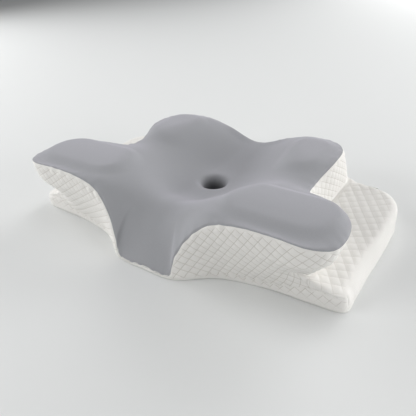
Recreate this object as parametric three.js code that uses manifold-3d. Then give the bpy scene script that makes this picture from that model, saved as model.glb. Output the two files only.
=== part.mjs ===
// Contour neck pillow: a winged foam core in a zipped cover.
// Millimetres, +Z up, front (neck roll) towards -Y, origin under the middle of the pillow's box.
import * as THREE from 'three';
import { mergeVertices } from 'three/addons/utils/BufferGeometryUtils.js';
import Module from 'manifold-3d';

// ---- driving dimensions -------------------------------------------------------------------

const holeY = 16;               // the head hollow's centre lies this far behind the origin
const bowlHeight = 62;          // top of the bowl around the hollow
const hollowFloor = 20;         // height of the blind end of the hollow
const hollowRadius = 28;        // mouth radius of the hollow
const neckRollRise = 28;        // how far the neck roll stands above the bowl
const wingHeight = 118;         // general height of the wings
const padRise = 4;              // raised soft pad on each wing
const coverThick = 1.4;         // cover fabric with its wadding
const foamInset = 2.6;          // from the cover's outside to the foam
const pieceGap = 0.6;           // each sewn piece stops this far from the seam line
const foldGap = 0.4;            // gap between two covers where they meet in a fold
const lipHeight = 3.5;          // the base panel turns up this far all round
const seamRadius = 1.3;         // rolled seam under the top panel's edge
const seamStand = 1.8;          // the rolled seam's centre stands this far off the cover
const columnsPerStation = 2;    // grid columns from one station to the next

const backPlane = 177 + holeY;  // outer face of the back wall, flat behind the zip
const zipHalf = 150;            // half the length of the zip's rows
const zipHeight = 16.5;         // height of the line where the two rows meet
const tapeWidth = 10;
const tapeThick = 0.8;
const tapeDepth = 1;            // from the back plane to the tape's outer face
const rowWidth = 1.6;           // one row of teeth, across the zip
const rowDepth = 2.4;           // one row of teeth, through the wall
const rowGap = 0.6;             // between the two rows
const tapeOverhang = 8;         // the tapes run this far past the rows at each end
const stopDepth = 2.6;          // moulded stops at the ends of the rows, through the wall
const topStopLength = 3;
const bottomStopLength = 4;
const stopGap = 0.4;            // between a row's end and its stop
const zipSpace = [322, 12, 31]; // the shallow space in the foam behind the zip: x, y, z
const zipSpaceSetback = 1.6;    // the middle of that space lies this far behind the back plane
const sliderLength = 11;
const sliderWidth = 8.4;
const sliderX = 144;            // the slider's place with the zip closed
const plateThick = 1.1;
const pullLength = 27;
const pullWidth = 7;
const pullThick = 1.2;

// ---- stations round the pillow --------------------------------------------------------------
// Each row is one station on the right-hand half, from the middle of the front to the middle of
// the back: points [x, y from the hollow, z] on the seam, half way down the wall, at the wall's
// foot, on the armrest's top edge and on the base outline.

const stations = [
  { seam: [0, -212, 8], wall: [0, -212.5, 7], foot: [0, -212.5, 6], edge: [0, -212.5, 5], base: [0, -210] },
  { seam: [49, -211, 8], wall: [50, -211.5, 7], foot: [50.5, -211.5, 6], edge: [51, -211.5, 5], base: [51, -209] },
  { seam: [59, -207, 40], wall: [63, -206.5, 29], foot: [65, -206, 18], edge: [66, -205.5, 9], base: [67, -202] },
  { seam: [78, -197, 76], wall: [82, -196, 55], foot: [86, -192, 28], edge: [88, -189, 12], base: [88, -186] },
  { seam: [112, -188, 108], wall: [114, -187, 76], foot: [117, -178, 36], edge: [118, -171, 14], base: [118, -168] },
  { seam: [158, -186, 121], wall: [160, -184, 84], foot: [162, -170, 40], edge: [163, -159, 15], base: [163, -156] },
  { seam: [210, -186, 124], wall: [209, -184, 84], foot: [207, -168, 46], edge: [209, -154, 18], base: [210, -149] },
  { seam: [264, -185, 122], wall: [254, -181, 84], foot: [235, -158, 55], edge: [257, -152, 31], base: [258, -148] },
  { seam: [289, -167, 118], wall: [285, -164, 93], foot: [249, -146, 48], edge: [303, -144, 27], base: [306, -141] },
  { seam: [295, -132, 116], wall: [281, -130, 89], foot: [247, -119, 43], edge: [304, -113, 29], base: [309, -108] },
  { seam: [284, -90, 116], wall: [268, -94, 86], foot: [239, -90, 41], edge: [303, -52, 33], base: [309, -52] },
  { seam: [248, -56, 114], wall: [238, -62, 79], foot: [223, -58, 40], edge: [308, 6, 38], base: [311, 6] },
  { seam: [201, -30, 106], wall: [204, -28, 74], foot: [208, -24, 41], edge: [310, 62, 45], base: [311, 62] },
  { seam: [191, 22, 100], wall: [198, 26, 74], foot: [206, 32, 46], edge: [307, 103, 51], base: [308, 104] },
  { seam: [200, 79, 115], wall: [204, 82, 83], foot: [208, 86, 52], edge: [288, 126, 55], base: [289, 128] },
  { seam: [194, 130, 115], wall: [202, 130, 84], foot: [209, 124, 56], edge: [249, 133, 55], base: [250, 134] },
  { seam: [171, 163, 112], wall: [183, 162, 84], foot: [196, 155, 54], edge: [208, 148, 40], base: [210, 148] },
  { seam: [132, 174, 109], wall: [148, 176, 74], foot: [162, 177, 32], edge: [170, 177, 10], base: [172, 175] },
  { seam: [72, 175, 99], wall: [78, 177, 66], foot: [84, 177, 32], edge: [86, 177, 10], base: [87, 176] },
  { seam: [0, 173, 77], wall: [0, 176, 54], foot: [0, 177, 32], edge: [0, 177, 10], base: [0, 176] },
];
const skirtStation = 1;         // the top panel reaches the base between here and its mirror image
const armrestStart = 7;
const armrestEnd = 16;
const backStation = 17;         // the back panel and the zip lie between here and its mirror image

// ---- the outer surface ----------------------------------------------------------------------

function clamp01(value) {
  return Math.min(1, Math.max(0, value));
}

function smooth(low, high, value) {
  const k = clamp01((value - low) / (high - low));
  return k * k * (3 - 2 * k);
}

function hump(value, centre, width) {
  return Math.exp(-(((value - centre) / width) ** 2));
}

// 1 inside a rounded rectangle, falling to 0 over the last `soft` millimetres of its rim.
function padShape(a, y, centreX, centreY, halfX, halfY, soft) {
  const corner = Math.min(halfX, halfY) * 0.9;
  const dx = Math.max(Math.abs(a - centreX) - halfX + corner, 0);
  const dy = Math.max(Math.abs(y - centreY) - halfY + corner, 0);
  return smooth(0, soft, corner - Math.hypot(dx, dy));
}

// Height of the top over plan point x, y (y counted from the hollow), before its edge rolls down.
function topHeight(x, y) {
  const a = Math.abs(x);
  const middle = bowlHeight + neckRollRise * hump(y, -138, 50) + 15 * smooth(40, 175, y);
  const notch = 15 * hump(y, -2, 38) * smooth(100, 195, a);
  const wing = wingHeight + 6 * hump(y, -120, 62) - notch - 4 * smooth(120, 180, y);
  const valleyHalf = 8 + 20 * hump(y, 0, 90);
  const slopeEnd = 122 + 48 * hump(y, 0, 80);
  const pads = padShape(a, y, 187, -106, 96, 50, 26) + padShape(a, y, 143, 88, 50, 72, 26);
  return THREE.MathUtils.lerp(middle, wing, smooth(valleyHalf, slopeEnd, a)) + padRise * pads;
}

const half = stations.length - 1;
const columns = 2 * half * columnsPerStation;

function ringCurve(pick) {
  const right = stations.map(pick).map(([x, y, z]) => new THREE.Vector3(x, y, z));
  const left = right.slice(1, half).reverse().map((p) => new THREE.Vector3(-p.x, p.y, p.z));
  return new THREE.CatmullRomCurve3([...right, ...left], true, 'centripetal');
}

const seamCurve = ringCurve((s) => s.seam);
const wallCurve = ringCurve((s) => s.wall);
const footCurve = ringCurve((s) => s.foot);
const edgeCurve = ringCurve((s) => s.edge);
const baseCurve = ringCurve((s) => [...s.base, 0]);

// The hollow is a funnel: [radius, height] from its blind end to its mouth.
const hollowProfile = [[0, hollowFloor], [14, hollowFloor + 2], [18, hollowFloor + 18], [21, hollowFloor + 33]];
const topSteps = [0, 0.14, 0.28, 0.42, 0.56, 0.68, 0.79, 0.88, 0.95, 1];

function topPoint(seam, step) {
  const angle = Math.atan2(seam.y, seam.x);
  const x = THREE.MathUtils.lerp(hollowRadius * Math.cos(angle), seam.x, step);
  const y = THREE.MathUtils.lerp(hollowRadius * Math.sin(angle), seam.y, step);
  const roll = clamp01((step - 0.74) / 0.26) ** 2;
  return new THREE.Vector3(x, y, THREE.MathUtils.lerp(topHeight(x, y), seam.z, roll));
}

function lipPoint(edge, base) {
  const flat = new THREE.Vector3(edge.x, edge.y, 0);
  return flat.lerp(base, 0.25).setZ(lipHeight);
}

// One column of the surface, from the hollow's blind end over the top, down the wall and in
// under the base to its middle.
function column(t) {
  const seam = seamCurve.getPoint(t);
  const wall = wallCurve.getPoint(t);
  const foot = footCurve.getPoint(t);
  const edge = edgeCurve.getPoint(t);
  const base = baseCurve.getPoint(t);
  for (const p of [wall, foot, edge, base]) p.y = Math.min(p.y, backPlane - holeY);
  const angle = Math.atan2(seam.y, seam.x);
  const hollow = hollowProfile.map(([r, z]) => new THREE.Vector3(r * Math.cos(angle), r * Math.sin(angle), z));
  const top = topSteps.map((step) => topPoint(seam, step));
  const upper = seam.clone().lerp(wall, 0.5);
  const inner = base.clone().multiplyScalar(0.55);
  const shelf = foot.clone().lerp(edge, 0.4);
  const points = [...hollow, ...top, upper, wall, foot, shelf, edge, lipPoint(edge, base), base, inner];
  points.push(new THREE.Vector3(0, 0, 0));
  return points.map((p) => p.add(new THREE.Vector3(0, holeY, 0)));
}

const grid = Array.from({ length: columns }, (_, i) => column(i / columns));
const lastRow = grid[0].length - 1;
// Rows of the grid at the seam line, the wall's crease, the fold, the armrest's edge and the lip.
const rows = { seam: hollowProfile.length + topSteps.length - 1 };
rows.wall = rows.seam + 2;
rows.foot = rows.wall + 1;
rows.edge = rows.foot + 2;
rows.lip = rows.edge + 1;

const leastLean = 0.6;   // keeps a sharp fold's points from running out too far
const wrap = (i) => (i + columns) % columns;
const onRight = (i) => wrap(i) < columns / 2;

function cellNormal(i, j) {
  const a = grid[wrap(i)][j];
  const b = grid[wrap(i)][j + 1];
  const c = grid[wrap(i + 1)][j + 1];
  const d = grid[wrap(i + 1)][j];
  return c.clone().sub(a).cross(d.clone().sub(b)).normalize();
}

// The way out of the surface at a grid point, longer than 1 at a fold, so that a step along it
// moves the faces on both sides by its full depth.
function vertexNormal(i, j) {
  if (j === 0) return new THREE.Vector3(0, 0, 1);
  if (j === lastRow) return new THREE.Vector3(0, 0, -1);
  const faces = [[-1, -1], [0, -1], [-1, 0], [0, 0]].map(([di, dj]) => cellNormal(i + di, j + dj));
  const normal = new THREE.Vector3();
  for (const face of faces) normal.addScaledVector(face, 0.25);
  const lean = Math.max(normal.length(), leastLean);
  return normal.normalize().divideScalar(lean);
}

const normals = grid.map((points, i) => points.map((_, j) => vertexNormal(i, j)));

// ---- joining and cutting ----------------------------------------------------------------------

const wasm = await Module();
wasm.setup();

function toManifold(geometry) {
  const bare = geometry.clone();
  bare.deleteAttribute('normal');
  bare.deleteAttribute('uv');
  const merged = mergeVertices(bare, 1e-3);
  const vertProperties = new Float32Array(merged.attributes.position.array);
  const triVerts = new Uint32Array(merged.index.array);
  return new wasm.Manifold(new wasm.Mesh({ numProp: 3, vertProperties, triVerts }));
}

function fromManifold(body) {
  const { vertProperties, triVerts } = body.getMesh();
  const geometry = new THREE.BufferGeometry();
  geometry.setAttribute('position', new THREE.BufferAttribute(vertProperties, 3));
  geometry.setIndex(new THREE.BufferAttribute(triVerts, 1));
  return geometry;
}

// ---- solids made from the surface -----------------------------------------------------------

function solid(triangles) {
  const positions = [];
  for (const [a, b, c] of triangles) {
    const flat = a.distanceTo(b) < 1e-3 || b.distanceTo(c) < 1e-3 || c.distanceTo(a) < 1e-3;
    if (!flat) positions.push(a.x, a.y, a.z, b.x, b.y, b.z, c.x, c.y, c.z);
  }
  const geometry = new THREE.BufferGeometry();
  geometry.setAttribute('position', new THREE.Float32BufferAttribute(positions, 3));
  return mergeVertices(geometry, 1e-3);
}

function quad(a, b, c, d) {
  return [[a, b, c], [a, c, d]];
}

const cornersOf = (i, j) => [[i, j], [i, j + 1], [i + 1, j + 1], [i + 1, j]];

// How well a triangle of grid points faces the way out at all three of them.
function faceFit(indices) {
  const [a, b, c] = indices.map(([i, j]) => grid[wrap(i)][j]);
  const face = b.clone().sub(a).cross(c.clone().sub(a));
  if (face.length() < 1e-6) return 1;
  face.normalize();
  return Math.min(...indices.map(([i, j]) => face.dot(normals[wrap(i)][j])));
}

// A bent cell is split along the diagonal whose triangles face outwards best.
function splitsAcross(i, j) {
  const [a, b, c, d] = cornersOf(i, j);
  const fit = (...triangles) => Math.min(...triangles.map(faceFit));
  const lead = fit([a, b, c], [a, c, d]) - fit([b, c, d], [b, d, a]);
  return Math.abs(lead) < 1e-4 ? !onRight(i) : lead < 0;
}

const acrossAt = grid.map((points, i) => points.slice(1).map((_, j) => splitsAcross(i, j)));

// The two triangles of grid cell i, j, with its corners where the caller has put them.
function cell(i, j, [a, b, c, d]) {
  return acrossAt[i][j] ? quad(b, c, d, a) : quad(a, b, c, d);
}

// A point of the surface, `depth` below it.
function below(i, j, depth) {
  const n = normals[wrap(i)][j];
  return grid[wrap(i)][j].clone().addScaledVector(n, -depth);
}

function closedSurface(depth) {
  const triangles = [];
  for (let i = 0; i < columns; i += 1) {
    for (let j = 0; j < lastRow; j += 1) {
      triangles.push(...cell(i, j, cornersOf(i, j).map(([p, q]) => below(p, q, depth))));
    }
  }
  return solid(triangles);
}

function block(width, depth, height, x, y, z) {
  const geometry = new THREE.BoxGeometry(width, depth, height);
  geometry.translate(x, y, z);
  return geometry;
}

// What is left of one solid clear of others, without the slivers cut off it.
function clearOf(body, ...others) {
  const bodies = others.reduce((left, other) => left.subtract(other), body).decompose();
  return bodies.sort((a, b) => b.volume() - a.volume())[0];
}

// The foam fills the cover, less the shallow space that the zip presses into.
function foamCore() {
  const core = toManifold(closedSurface(foamInset));
  const space = toManifold(block(...zipSpace, 0, backPlane + zipSpaceSetback, zipHeight));
  return fromManifold(clearOf(core, space));
}

// A sewn piece of cover over the cells that `holds` accepts: outside, inside and cut edges.
function coverPiece(holds, outerDepth = 0, innerDepth = coverThick) {
  const has = (i, j) => j >= 0 && j < lastRow && holds(wrap(i), j);
  const place = (i, j, depth) => {
    const around = [[i - 1, j - 1], [i, j - 1], [i - 1, j], [i, j]];
    const inside = around.filter(([p, q]) => has(p, q));
    const point = below(i, j, depth);
    if (inside.length === 4 || j === 0 || j === lastRow) return point;
    const centre = new THREE.Vector3();
    const share = 0.25 / inside.length;
    for (const [p, q] of inside) {
      const corners = cornersOf(p, q);
      for (const [r, s] of corners) centre.addScaledVector(below(r, s, depth), share);
    }
    const inward = centre.sub(point);
    return point.addScaledVector(inward.normalize(), pieceGap);
  };
  const triangles = [];
  const skin = (i, j, depth) => cell(i, j, cornersOf(i, j).map(([p, q]) => place(p, q, depth)));
  for (let i = 0; i < columns; i += 1) {
    for (let j = 0; j < lastRow; j += 1) {
      if (!has(i, j)) continue;
      const corners = cornersOf(i, j);
      triangles.push(...skin(i, j, outerDepth));
      triangles.push(...skin(i, j, innerDepth).map(([a, b, c]) => [a, c, b]));
      const sides = [[i - 1, j], [i, j + 1], [i + 1, j], [i, j - 1]];
      sides.forEach(([p, q], k) => {
        if (has(p, q) || q < 0 || q >= lastRow) return;
        const from = corners[k];
        const to = corners[(k + 1) % 4];
        const upper = [place(...to, outerDepth), place(...from, outerDepth)];
        const lower = [place(...from, innerDepth), place(...to, innerDepth)];
        triangles.push(...quad(...upper, ...lower));
      });
    }
  }
  return solid(triangles);
}

// Station number of a column's cell, 0 at the middle front to `half` at the middle back, and
// whether it lies on the right-hand side.
function stationOf(i) {
  const s = (i + 0.5) / columnsPerStation;
  return s < half ? { place: s, right: true } : { place: 2 * half - s, right: false };
}

const between = (value, low, high) => value > low && value < high;

function topPanel() {
  return coverPiece((i, j) => j < rows.seam);
}

function wallCover(right) {
  const panel = coverPiece((i, j) => {
    const s = stationOf(i);
    if (s.right !== right || !between(s.place, skirtStation, backStation)) return false;
    const bottom = between(s.place, armrestStart, armrestEnd) ? rows.foot : rows.lip;
    return j >= rows.seam && j < bottom;
  });
  return fromManifold(clearOf(toManifold(panel), armrestRoom(right)));
}

const onArmrest = (right) => (i, j) => {
  const s = stationOf(i);
  return s.right === right && between(s.place, armrestStart, armrestEnd) && j >= rows.foot && j < rows.lip;
};

function armrestCover(right) {
  return coverPiece(onArmrest(right));
}

// The armrest's cover with `foldGap` of room on both faces, for what is cut clear of it.
function armrestRoom(right) {
  const room = toManifold(coverPiece(onArmrest(right), -foldGap, coverThick + foldGap));
  return room.add(toManifold(armrestCover(right)));
}

function backCover() {
  return coverPiece((i, j) => stationOf(i).place > backStation && j >= rows.seam && j < rows.foot);
}

function basePanel() {
  return coverPiece((i, j) => j >= rows.lip || (j >= rows.seam && stationOf(i).place < skirtStation));
}

// ---- rolled seam ------------------------------------------------------------------------------

function seamRoll() {
  const points = grid.map((c, i) => below(i, rows.seam, -seamStand));
  const route = new THREE.CatmullRomCurve3(points, true, 'centripetal');
  const steps = columns;
  const sides = 6;
  const rings = [];
  for (let k = 0; k < steps; k += 1) {
    const centre = route.getPoint(k / steps);
    const along = route.getTangent(k / steps);
    const out = normals[k][rows.seam].clone();
    const across = along.clone().cross(out).normalize();
    out.copy(across).cross(along).normalize();
    const ring = [];
    for (let m = 0; m < sides; m += 1) {
      const angle = (2 * Math.PI * m) / sides;
      const spoke = out.clone().multiplyScalar(Math.cos(angle)).addScaledVector(across, Math.sin(angle));
      ring.push(centre.clone().addScaledVector(spoke, seamRadius));
    }
    rings.push(ring);
  }
  const triangles = [];
  for (let k = 0; k < steps; k += 1) {
    const next = rings[(k + 1) % steps];
    for (let m = 0; m < sides; m += 1) {
      const n = (m + 1) % sides;
      triangles.push(...quad(rings[k][m], rings[k][n], next[n], next[m]));
    }
  }
  return solid(triangles);
}

// ---- zip --------------------------------------------------------------------------------------

const tapeY = backPlane - tapeDepth;          // outer face of both tapes
const rowY = tapeY - tapeThick;               // inner face of the rows
const rowTop = rowY + rowDepth;
const frontPlateY = rowTop + 0.4;             // inner face of the slider's front plate
const crownGap = 0.5;
const pullY = frontPlateY + plateThick + crownGap + pullThick / 2;
const barHalf = 0.7;

function zipTape(side) {
  const z = zipHeight + side * (rowGap / 2 + rowWidth + pieceGap + tapeWidth / 2);
  return block(2 * (zipHalf + tapeOverhang), tapeThick, tapeWidth, 0, tapeY - tapeThick / 2, z);
}

function zipRow(side) {
  const z = zipHeight + side * (rowGap + rowWidth) / 2;
  return block(2 * zipHalf, rowDepth, rowWidth, 0, rowY + rowDepth / 2, z);
}

function topStop(side) {
  const z = zipHeight + side * (rowGap / 2 + rowWidth / 2);
  const x = zipHalf + stopGap + topStopLength / 2;
  return block(topStopLength, stopDepth, rowWidth, x, rowY + stopDepth / 2, z);
}

function bottomStop() {
  const x = -zipHalf - stopGap - bottomStopLength / 2;
  return block(bottomStopLength, stopDepth, 2 * rowWidth + rowGap, x, rowY + stopDepth / 2, zipHeight);
}

// Plan outline of a slider plate: narrow at the closed end, with rounded corners.
function plateShape() {
  const shape = new THREE.Shape();
  const x = sliderLength / 2;
  const z = sliderWidth / 2;
  shape.moveTo(x, -z * 0.62);
  shape.quadraticCurveTo(x + 0.8, 0, x, z * 0.62);
  shape.lineTo(-x * 0.5, z);
  shape.quadraticCurveTo(-x, z, -x, z * 0.5);
  shape.lineTo(-x, -z * 0.5);
  shape.quadraticCurveTo(-x, -z, -x * 0.5, -z);
  shape.closePath();
  return shape;
}

// Turns an extrusion drawn in x, y with its depth along z so that it stands against the wall.
function againstWall(geometry, x, yInner, z) {
  geometry.rotateX(Math.PI / 2);
  geometry.translate(x, yInner, z);
  return geometry;
}

function sliderFrontPlate() {
  const options = { depth: plateThick, bevelEnabled: false, curveSegments: 4 };
  const plate = new THREE.ExtrudeGeometry(plateShape(), options);
  return againstWall(plate, sliderX, frontPlateY + plateThick, zipHeight);
}

function sliderBackPlate() {
  const options = { depth: plateThick, bevelEnabled: false, curveSegments: 4 };
  const plate = new THREE.ExtrudeGeometry(plateShape(), options);
  return againstWall(plate, sliderX, rowY - 0.35, zipHeight);
}

// The crown is a small bridge along the slider that the pull's bar turns under.
function sliderCrown() {
  const foot = frontPlateY + plateThick - 0.4;
  const rise = 2 * crownGap + pullThick + 0.7;
  const outer = 3.4;
  const wall = 1;
  const shape = new THREE.Shape();
  shape.moveTo(-outer, 0);
  shape.lineTo(-outer + wall, 0);
  shape.lineTo(-outer + wall, rise);
  shape.lineTo(outer - wall, rise);
  shape.lineTo(outer - wall, 0);
  shape.lineTo(outer, 0);
  shape.lineTo(outer, rise + wall * 0.6);
  shape.lineTo(outer - wall, rise + wall);
  shape.lineTo(-outer + wall, rise + wall);
  shape.lineTo(-outer, rise + wall * 0.6);
  shape.closePath();
  const crown = new THREE.ExtrudeGeometry(shape, { depth: 2, bevelEnabled: false });
  crown.translate(sliderX, foot, zipHeight - 1);
  return crown;
}

function sliderBody() {
  return fromManifold(toManifold(sliderFrontPlate()).add(toManifold(sliderCrown())));
}

// The pull lies along the zip with its bar under the crown; its window clears the crown's legs.
function pullTab() {
  const shape = new THREE.Shape();
  const w = pullWidth / 2;
  const tip = -pullLength;
  shape.moveTo(barHalf, -w * 0.6);
  shape.lineTo(barHalf, w * 0.6);
  shape.lineTo(-3, w * 0.8);
  shape.lineTo(tip + w, w);
  shape.absarc(tip + w, 0, w, Math.PI / 2, 1.5 * Math.PI, false);
  shape.lineTo(-3, -w * 0.8);
  shape.closePath();
  const window = new THREE.Path();
  window.moveTo(-barHalf, -1.5);
  window.lineTo(-barHalf - 4.6, -1.5);
  window.lineTo(-barHalf - 4.6, 1.5);
  window.lineTo(-barHalf, 1.5);
  window.closePath();
  shape.holes.push(window);
  const pull = new THREE.ExtrudeGeometry(shape, { depth: pullThick, bevelEnabled: false, curveSegments: 8 });
  return againstWall(pull, sliderX, pullY + pullThick / 2, zipHeight);
}

function careLabel() {
  return block(24, 0.5, 34, 250, 134 + holeY + 4, 34);
}

// ---- the assembly -------------------------------------------------------------------------------

const finishes = {
  foam: { color: 0xe9e2c8, roughness: 0.95, metalness: 0 },
  top_jersey: { color: 0xa9abb2, roughness: 0.85, metalness: 0 },
  quilted_knit: { color: 0xe7e3de, roughness: 0.92, metalness: 0 },
  seam: { color: 0x8f9198, roughness: 0.85, metalness: 0 },
  zip_tape: { color: 0xe4e1dc, roughness: 0.9, metalness: 0 },
  zip_teeth: { color: 0xdedbd6, roughness: 0.45, metalness: 0 },
  zip_metal: { color: 0xb9babd, roughness: 0.3, metalness: 0.9 },
  label: { color: 0xf2f1ee, roughness: 0.7, metalness: 0 },
};

const pillow = new THREE.Group();

function add(name, geometry, finish) {
  const mesh = new THREE.Mesh(geometry, new THREE.MeshStandardMaterial(finishes[finish]));
  mesh.name = name;
  pillow.add(mesh);
}

add('foam_core', foamCore(), 'foam');
add('top_panel', topPanel(), 'top_jersey');
for (const side of ['left', 'right']) {
  add(`wall_cover_${side}`, wallCover(side === 'right'), 'quilted_knit');
  add(`armrest_cover_${side}`, armrestCover(side === 'right'), 'quilted_knit');
}
add('back_cover', backCover(), 'quilted_knit');
add('base_panel', basePanel(), 'quilted_knit');
add('seam_roll', seamRoll(), 'seam');
for (const [name, side] of [['lower', -1], ['upper', 1]]) {
  add(`zip_tape_${name}`, zipTape(side), 'zip_tape');
  add(`zip_row_${name}`, zipRow(side), 'zip_teeth');
  add(`zip_top_stop_${name}`, topStop(side), 'zip_metal');
}
add('zip_bottom_stop', bottomStop(), 'zip_metal');
add('slider_body', sliderBody(), 'zip_metal');
add('slider_back_plate', sliderBackPlate(), 'zip_metal');
add('pull_tab', pullTab(), 'zip_metal');
add('care_label', careLabel(), 'label');

export default pillow;
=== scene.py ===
# %% [markdown]
# # A winged neck pillow, sewn and zipped
#
# The object is a contour neck pillow: a moulded foam core with four wings, a bowl with a hollow
# under the head, a neck roll in front and a low armrest on each side. A grey stretch jersey
# covers the top and white quilted knit covers the walls and armrests. Every size below is in
# metres, and the frame says where each piece goes.

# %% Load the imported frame
import math

import bmesh
import bpy
import numpy as np
from mathutils import Matrix, Vector


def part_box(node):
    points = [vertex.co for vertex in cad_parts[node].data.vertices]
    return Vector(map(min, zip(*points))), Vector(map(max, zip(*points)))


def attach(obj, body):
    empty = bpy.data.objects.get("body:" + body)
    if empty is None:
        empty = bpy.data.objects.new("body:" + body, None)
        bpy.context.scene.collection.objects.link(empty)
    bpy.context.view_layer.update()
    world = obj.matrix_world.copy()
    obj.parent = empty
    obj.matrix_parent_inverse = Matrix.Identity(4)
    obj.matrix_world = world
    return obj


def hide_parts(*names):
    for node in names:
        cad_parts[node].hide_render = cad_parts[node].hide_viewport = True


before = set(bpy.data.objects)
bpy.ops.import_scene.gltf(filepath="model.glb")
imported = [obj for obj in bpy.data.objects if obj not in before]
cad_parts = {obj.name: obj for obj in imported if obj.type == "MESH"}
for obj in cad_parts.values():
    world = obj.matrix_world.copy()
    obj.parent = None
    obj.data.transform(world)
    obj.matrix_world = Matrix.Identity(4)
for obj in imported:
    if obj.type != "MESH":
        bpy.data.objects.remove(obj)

for name in ("Cube", "Light", "Camera"):
    if name in bpy.data.objects:
        bpy.data.objects.remove(bpy.data.objects[name])
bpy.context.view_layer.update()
MM = 0.001
BODY = "pillow"

# %% [markdown]
# ## Camera, floor and light
#
# The pillow is seen from its front right, from about 31 degrees above it. A plain pale floor
# catches a soft shadow. One lamp alone would leave hard edges, so six large area lights stand
# round it like the panels of a studio: strong ones to the left, right and back, weaker ones
# above and at the front left. The quilted sides come out brightest and the neck in soft shade.

# %% Camera
hollow_y = 16 * MM
camera_data = bpy.data.cameras.new("camera")
camera_data.lens = 39.80
camera_data.sensor_width = 36
camera = bpy.data.objects.new("camera", camera_data)
bpy.context.scene.collection.objects.link(camera)
right = Vector((0.8318, 0.5533, -0.0450))
up = Vector((-0.2551, 0.4530, 0.8543))
back = right.cross(up).normalized()
up = back.cross(right).normalized()
turn = Matrix((right.normalized(), up, back)).transposed()
camera.matrix_world = Matrix.Translation((0.42456, -0.62577 + hollow_y, 0.46269)) @ turn.to_4x4()
bpy.context.scene.camera = camera
bpy.context.scene.view_settings.view_transform = "Standard"
print("camera", [round(v, 3) for v in camera.location])


# %% Floor and lights
def shader(material):
    """The material's node tree and its Principled shader."""
    material.use_nodes = True
    return material.node_tree, material.node_tree.nodes["Principled BSDF"]


floor_mesh = bpy.data.meshes.new("floor")
reach = 14.0
corners = [(-reach, -reach, 0), (reach, -reach, 0), (reach, reach, 0), (-reach, reach, 0)]
floor_mesh.from_pydata(corners, [], [(0, 1, 2, 3)])
floor = bpy.data.objects.new("floor", floor_mesh)
bpy.context.scene.collection.objects.link(floor)
pale = bpy.data.materials.new("pale_floor")
_, pale_shader = shader(pale)
pale_shader.inputs["Base Color"].default_value = (0.74, 0.75, 0.745, 1)
pale_shader.inputs["Roughness"].default_value = 0.9
floor_mesh.materials.append(pale)


def area_light(name, place, aim, size, power):
    data = bpy.data.lights.new(name, "AREA")
    data.size = size
    data.energy = power
    lamp = bpy.data.objects.new(name, data)
    bpy.context.scene.collection.objects.link(lamp)
    lamp.location = place
    lamp.rotation_euler = (Vector(aim) - Vector(place)).to_track_quat("-Z", "Y").to_euler()


middle = (0, 0, 0.06)
area_light("left_bank", (-2.9, 0.0, 1.0), middle, 1.8, 46)
area_light("right_bank", (3.0, -0.2, 0.7), middle, 1.6, 44)
area_light("right_window", (2.4, 1.8, 1.4), middle, 1.8, 26)
area_light("back_window", (0.6, 3.8, 1.5), middle, 2.6, 98)
area_light("ceiling", (0.0, 0.2, 2.6), middle, 1.8, 14)
area_light("front_fill", (-1.9, -2.1, 1.3), middle, 1.8, 52)

world = bpy.data.worlds.new("studio")
bpy.context.scene.world = world
world.use_nodes = True
world.node_tree.nodes["Background"].inputs["Color"].default_value = (0.95, 0.97, 1.0, 1)
world.node_tree.nodes["Background"].inputs["Strength"].default_value = 0.10

# %% [markdown]
# ## The pillow's surface
#
# All the sewn panels lie on one smooth skin, so it is worked out once. Stations go round the
# pillow from the middle of the front to the middle of the back, and each gives a point on the
# seam, half way down the wall, at the wall's foot, on the armrest's top edge and on the base
# outline. A smooth curve joins each kind of point into a ring. Modelling each panel by hand
# would leave gaps along the seams; panels cut from one skin always meet.

# %% Stations
BOWL = 62 * MM
NECK_ROLL = 28 * MM
WING = 118 * MM
PAD = 6 * MM
HOLLOW_FLOOR = 20 * MM
HOLLOW_RADIUS = 28 * MM
LIP = 3.5 * MM
BACK_PLANE = 177 * MM

# seam x, y, z | wall x, y, z | foot x, y, z | armrest edge x, y, z | base x, y (mm, y from the hollow)
stations = np.array([
    [0, -212, 8, 0, -212.5, 7, 0, -212.5, 6, 0, -212.5, 5, 0, -210],
    [49, -211, 8, 50, -211.5, 7, 50.5, -211.5, 6, 51, -211.5, 5, 51, -209],
    [59, -207, 40, 63, -206.5, 29, 65, -206, 18, 66, -205.5, 9, 67, -202],
    [78, -197, 76, 82, -196, 55, 86, -192, 28, 88, -189, 12, 88, -186],
    [112, -188, 108, 114, -187, 76, 117, -178, 36, 118, -171, 14, 118, -168],
    [158, -186, 121, 160, -184, 84, 162, -170, 40, 163, -159, 15, 163, -156],
    [210, -186, 124, 209, -184, 84, 207, -168, 46, 209, -154, 18, 210, -149],
    [264, -185, 122, 254, -181, 84, 235, -158, 55, 257, -152, 31, 258, -148],
    [289, -167, 118, 285, -164, 93, 249, -146, 48, 303, -144, 27, 306, -141],
    [295, -132, 116, 281, -130, 89, 247, -119, 43, 304, -113, 29, 309, -108],
    [284, -90, 116, 268, -94, 86, 239, -90, 41, 303, -52, 33, 309, -52],
    [248, -56, 114, 238, -62, 79, 223, -58, 40, 308, 6, 38, 311, 6],
    [201, -30, 106, 204, -28, 74, 208, -24, 41, 310, 62, 45, 311, 62],
    [191, 22, 100, 198, 26, 74, 206, 32, 46, 307, 103, 51, 308, 104],
    [200, 79, 115, 204, 82, 83, 208, 86, 52, 288, 126, 55, 289, 128],
    [194, 130, 115, 202, 130, 84, 209, 124, 56, 249, 133, 55, 250, 134],
    [171, 163, 112, 183, 162, 84, 196, 155, 54, 208, 148, 40, 210, 148],
    [132, 174, 109, 148, 176, 74, 162, 177, 32, 170, 177, 10, 172, 175],
    [72, 175, 99, 78, 177, 66, 84, 177, 32, 86, 177, 10, 87, 176],
    [0, 173, 77, 0, 176, 54, 0, 177, 32, 0, 177, 10, 0, 176],
]) * MM
stations = np.hstack([stations, np.zeros((len(stations), 1))]).reshape(len(stations), 5, 3)
LAST = len(stations) - 1
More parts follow.
